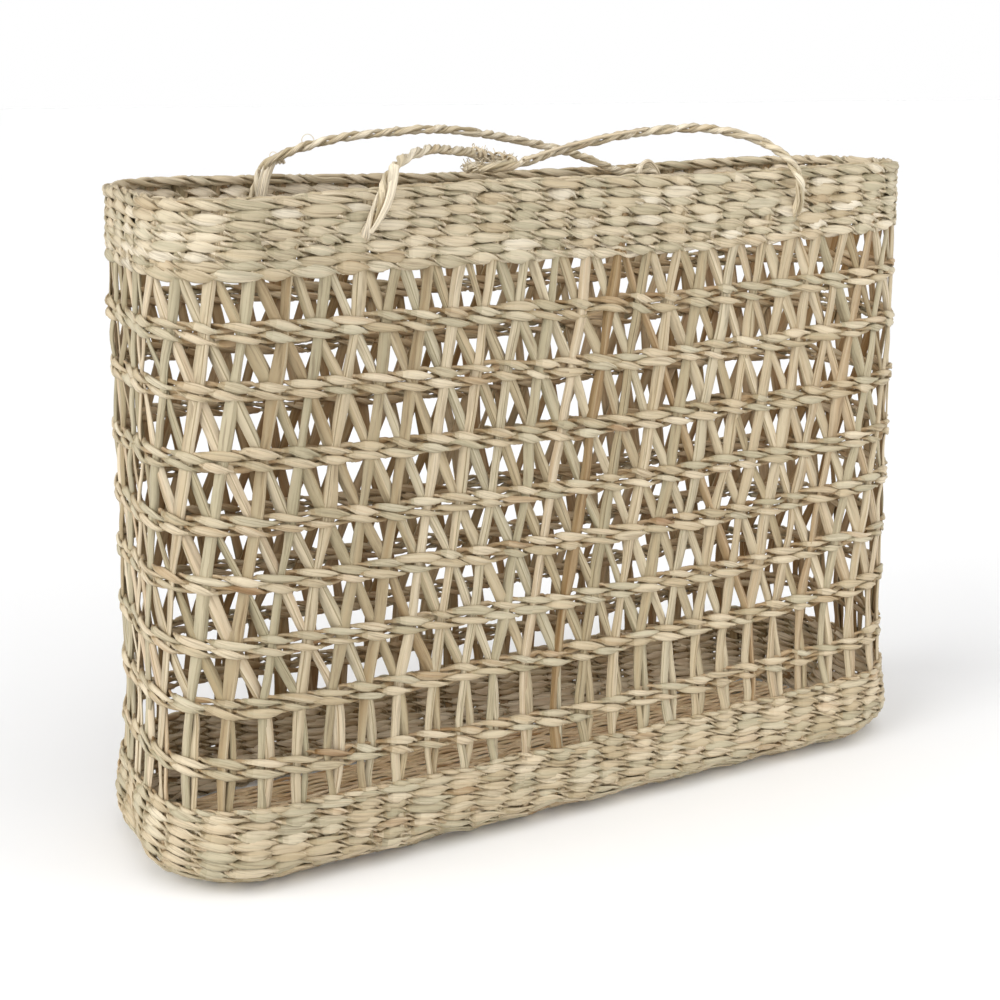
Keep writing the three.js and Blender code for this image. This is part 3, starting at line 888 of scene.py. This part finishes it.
def back_handle_ends(material):
    """Loose parts of the back handle: flat straws folded over its left leg, a stray loop, an end strap."""
    straws = Straws()
    rng = np.random.default_rng(980)
    for route in side_by_side(FOLDED_STRAW, FOLDED_STEP, FOLDED_LIFTS, 3):
        tone = (0.5, rng.uniform(0.1, 0.8), rng.uniform())
        blade(straws, route, BLADE_HALF_WIDTH, BLADE_HALF_THICKNESS, (1.0, 0.0, 0.1), tone, 0.6)
    for centre, size in STRAY_LOOPS:
        ring = [
            np.array(centre) + (size * np.cos(turn), 0.0006 * turn, size * np.sin(turn))
            for turn in np.linspace(-1.9, 4.5, 12)
        ]
        blade(straws, ring, 0.00026, FIBRE_HALF_THICKNESS, (0, 1, 0), (0.1, 0.6, 0.5), 0.8)
    for step, route in enumerate(side_by_side(END_STRAW, END_STEP, END_LIFTS, 4)):
        tone = (0.4 + 0.1 * step, rng.uniform(0.1, 0.8), rng.uniform())
        blade(straws, route, BLADE_HALF_WIDTH, BLADE_HALF_THICKNESS, (0.2, 0.6, 0.8), tone, 0.6)
    return straws.build("back_handle_ends", material)


# Materials

def shade(red, green, blue):
    """Linear colour of a display colour given in 0 to 255."""
    values = np.array((red, green, blue)) / 255
    return (*np.where(values <= 0.04045, values / 12.92, ((values + 0.055) / 1.055) ** 2.4), 1.0)


PALE = shade(226, 215, 192)
CREAM = shade(213, 198, 168)
SAGE = shade(188, 178, 149)
STRAW = shade(201, 182, 149)
TAN = shade(188, 163, 128)
RUST = shade(156, 124, 88)
DARK = shade(96, 72, 46)


def colour_ramp(nodes, stops):
    ramp = nodes.new("ShaderNodeValToRGB")
    elements = ramp.color_ramp.elements
    while len(elements) < len(stops):
        elements.new(0.5)
    for element, (position, colour) in zip(elements, stops):
        element.position = position
        element.color = colour
    return ramp


def math_node(tree, operation, *values):
    node = tree.nodes.new("ShaderNodeMath")
    node.operation = operation
    for socket, value in zip(node.inputs, values):
        if isinstance(value, (int, float)):
            socket.default_value = value
        else:
            tree.links.new(value, socket)
    return node.outputs[0]


def noise_node(tree, place, scale, detail, roughness=0.5):
    node = tree.nodes.new("ShaderNodeTexNoise")
    for name, value in (("Scale", scale), ("Detail", detail), ("Roughness", roughness)):
        node.inputs[name].default_value = value
    tree.links.new(place, node.inputs["Vector"])
    return node.outputs["Fac"]


def straw_tone(tree):
    """Hue, lightness and grain offset of each face."""
    tone = tree.nodes.new("ShaderNodeAttribute")
    tone.attribute_name = "tone"
    parts = tree.nodes.new("ShaderNodeSeparateXYZ")
    tree.links.new(tone.outputs["Vector"], parts.inputs[0])
    return parts.outputs


def grain_place(tree, offset):
    """Place in a straw's grain, which is stretched along the straw and differs between straws."""
    place = tree.nodes.new("ShaderNodeUVMap")
    place.uv_map = "Straw"
    split = tree.nodes.new("ShaderNodeSeparateXYZ")
    tree.links.new(place.outputs[0], split.inputs[0])
    joined = tree.nodes.new("ShaderNodeCombineXYZ")
    sources = (split.outputs[0], split.outputs[1], offset)
    for source, scale, socket in zip(sources, GRAIN_SCALES, joined.inputs):
        tree.links.new(math_node(tree, "MULTIPLY", source, scale), socket)
    return joined.outputs[0]


def streaked_colour(tree, hue, grain, streak, stops, darkening):
    """Colour from the range of hues, a little uneven along the straw, with dark streaks."""
    nodes, link = tree.nodes, tree.links.new
    patch = noise_node(tree, grain, PATCH_SCALE, 2.0)
    uneven = math_node(tree, "MULTIPLY_ADD", patch, PATCH_RANGE, -0.5 * PATCH_RANGE)
    ramp = colour_ramp(nodes, stops)
    link(math_node(tree, "ADD", hue, uneven), ramp.inputs[0])
    lines = colour_ramp(nodes, ((0.32, (darkening,) * 3 + (1,)), (0.5, (0, 0, 0, 1))))
    link(streak, lines.inputs[0])
    dark = nodes.new("ShaderNodeMix")
    dark.data_type = "RGBA"
    link(lines.outputs[0], dark.inputs["Factor"])
    link(ramp.outputs[0], dark.inputs[6])
    dark.inputs[7].default_value = DARK
    return dark.outputs[2]


def straw_material(name, stops, brightness, darkening=0.45):
    """Straw with fine streaks along its length, and a hue and lightness from each face's tone: each blade's
    own, plus the painted shade and painted light of the tones.
    """
    material = bpy.data.materials.new(name)
    material.use_nodes = True
    tree = material.node_tree
    nodes, link = tree.nodes, tree.links.new
    shader = nodes["Principled BSDF"]
    shader.inputs["Roughness"].default_value = 0.55
    shader.inputs["Specular IOR Level"].default_value = 0.35
    hue, light, offset = straw_tone(tree)
    grain = grain_place(tree, offset)
    streak = noise_node(tree, grain, 1.0, 4.0, 0.6)
    value = nodes.new("ShaderNodeHueSaturation")
    link(streaked_colour(tree, hue, grain, streak, stops, darkening), value.inputs["Color"])
    link(math_node(tree, "MULTIPLY_ADD", light, LIGHT_RANGE, brightness), value.inputs["Value"])
    link(math_node(tree, "MULTIPLY_ADD", light, RICHNESS_RANGE, RICHNESS), value.inputs["Saturation"])
    link(value.outputs[0], shader.inputs["Base Color"])
    crease = noise_node(tree, grain, CREASE_SCALE, 1.0)
    bump = nodes.new("ShaderNodeBump")
    bump.inputs["Strength"].default_value = 0.6
    bump.inputs["Distance"].default_value = BUMP_DEPTH
    link(math_node(tree, "MULTIPLY_ADD", crease, CREASE_SHARE, streak), bump.inputs["Height"])
    link(bump.outputs[0], shader.inputs["Normal"])
    return material


BLEACHED = ((0.0, PALE), (0.26, CREAM), (0.44, SAGE), (0.54, CREAM), (0.80, STRAW), (1.0, RUST))
GREENISH = ((0.0, CREAM), (0.25, SAGE), (0.48, STRAW), (0.62, CREAM), (0.84, TAN), (1.0, RUST))
ROPE = ((0.0, PALE), (0.35, CREAM), (0.55, PALE), (0.8, STRAW), (0.95, TAN), (1.0, TAN))
WARM = ((0.0, CREAM), (0.3, STRAW), (0.6, TAN), (0.85, STRAW), (1.0, RUST))


# Surroundings

def plain_floor():
    reach = 60.0
    corners = [(-reach, -reach, 0), (reach, -reach, 0), (reach, reach, 0), (-reach, reach, 0)]
    mesh = bpy.data.meshes.new("plain_floor")
    mesh.from_pydata(corners, [], [(0, 1, 2, 3)])
    floor = bpy.data.objects.new("plain_floor", mesh)
    bpy.context.collection.objects.link(floor)
    material = bpy.data.materials.new("floor_paper")
    material.use_nodes = True
    shader = material.node_tree.nodes["Principled BSDF"]
    shader.inputs["Base Color"].default_value = (0.92, 0.92, 0.915, 1)
    shader.inputs["Roughness"].default_value = 0.9
    shader.inputs["Specular IOR Level"].default_value = 0.1
    mesh.materials.append(material)


def sun_light(name, direction, power):
    """Light from a wide soft source far off in a direction."""
    lamp = bpy.data.lights.new(name, "SUN")
    lamp.angle = 0.9
    lamp.energy = power
    light = bpy.data.objects.new(name, lamp)
    bpy.context.collection.objects.link(light)
    light.rotation_euler = Vector(direction).to_track_quat("Z", "Y").to_euler()


def near_light(name, place, target, size, power):
    lamp = bpy.data.lights.new(name, "AREA")
    lamp.size = size
    lamp.energy = power
    light = bpy.data.objects.new(name, lamp)
    bpy.context.collection.objects.link(light)
    light.location = place
    light.rotation_euler = (Vector(place) - Vector(target)).to_track_quat("Z", "Y").to_euler()


def studio_light():
    """A pale studio: bright near the horizon, dimmer overhead, with soft lights from three sides."""
    world = bpy.data.worlds.new("studio")
    bpy.context.scene.world = world
    world.use_nodes = True
    nodes, link = world.node_tree.nodes, world.node_tree.links.new
    place = nodes.new("ShaderNodeTexCoord")
    parts = nodes.new("ShaderNodeSeparateXYZ")
    link(place.outputs["Generated"], parts.inputs[0])
    ramp = colour_ramp(nodes, ((0.1, (1.0, 1.0, 1.0, 1)), (0.5, (0.36, 0.36, 0.37, 1))))
    link(parts.outputs[2], ramp.inputs[0])
    link(ramp.outputs[0], nodes["Background"].inputs["Color"])
    sun_light("left_light", (-2.4, -0.15, 1.4), 2.3)
    sun_light("top_light", (0.1, -0.9, 1.5), 1.15)
    near_light("right_light", (0.80, -0.85, 0.50), (0.10, 0.0, 0.20), 0.6, 3.1)
    bpy.context.scene.view_settings.view_transform = "Standard"


# The bag

def dress(piece, node):
    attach(piece, "root")
    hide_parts(node)


place_camera()
rope_straw = straw_material("rope_straw", ROPE, brightness=0.9, darkening=0.6)
for side, handle_route in (("front", FRONT_HANDLE_ROUTE), ("back", BACK_HANDLE_ROUTE)):
    handle, handle_line, handle_length = rope(
        f"{side}_handle_rope", handle_route, 900 if side == "front" else 950, rope_straw)
    dress(handle, f"handle_{side}")
    loose_ends = front_handle_ends(rope_straw) if side == "front" else back_handle_ends(rope_straw)
    dress(loose_ends, f"handle_{side}")

band_straw = straw_material("band_straw", BLEACHED, brightness=0.77)
base_straw = straw_material("base_straw", GREENISH, brightness=0.785)
wall_straw = straw_material("wall_straw", GREENISH, brightness=0.79)
floor_straw = straw_material("floor_straw", WARM, brightness=1.45, darkening=0.5)
dress(rim_weave(band_straw), "rim_band")
dress(border(band_straw), "rim_edge")
dress(base_weave(base_straw), "base_band")
dress(base_lip(base_straw), "base_band")
dress(open_rows("upper_twined_rows", (1, 2, 3, 4), wall_straw), "open_wall")
dress(open_rows("lower_twined_rows", (5, 6, 7, 8), wall_straw), "open_wall")
front_stakes = stakes(
    "front_stakes", SIDE_LEAN, STAKE_DEPTH, FRONT_STAKE_HALF_WIDTHS, 1000, wall_straw)
dress(front_stakes, "open_wall")
rear_stakes = stakes(
    "rear_stakes", 1 + SIDE_LEAN, -STAKE_DEPTH, REAR_STAKE_HALF_WIDTHS, 1100, wall_straw)
dress(rear_stakes, "open_wall")
dress(floor_weave(floor_straw), "woven_floor")
plain_floor()
studio_light()

bpy.context.view_layer.update()
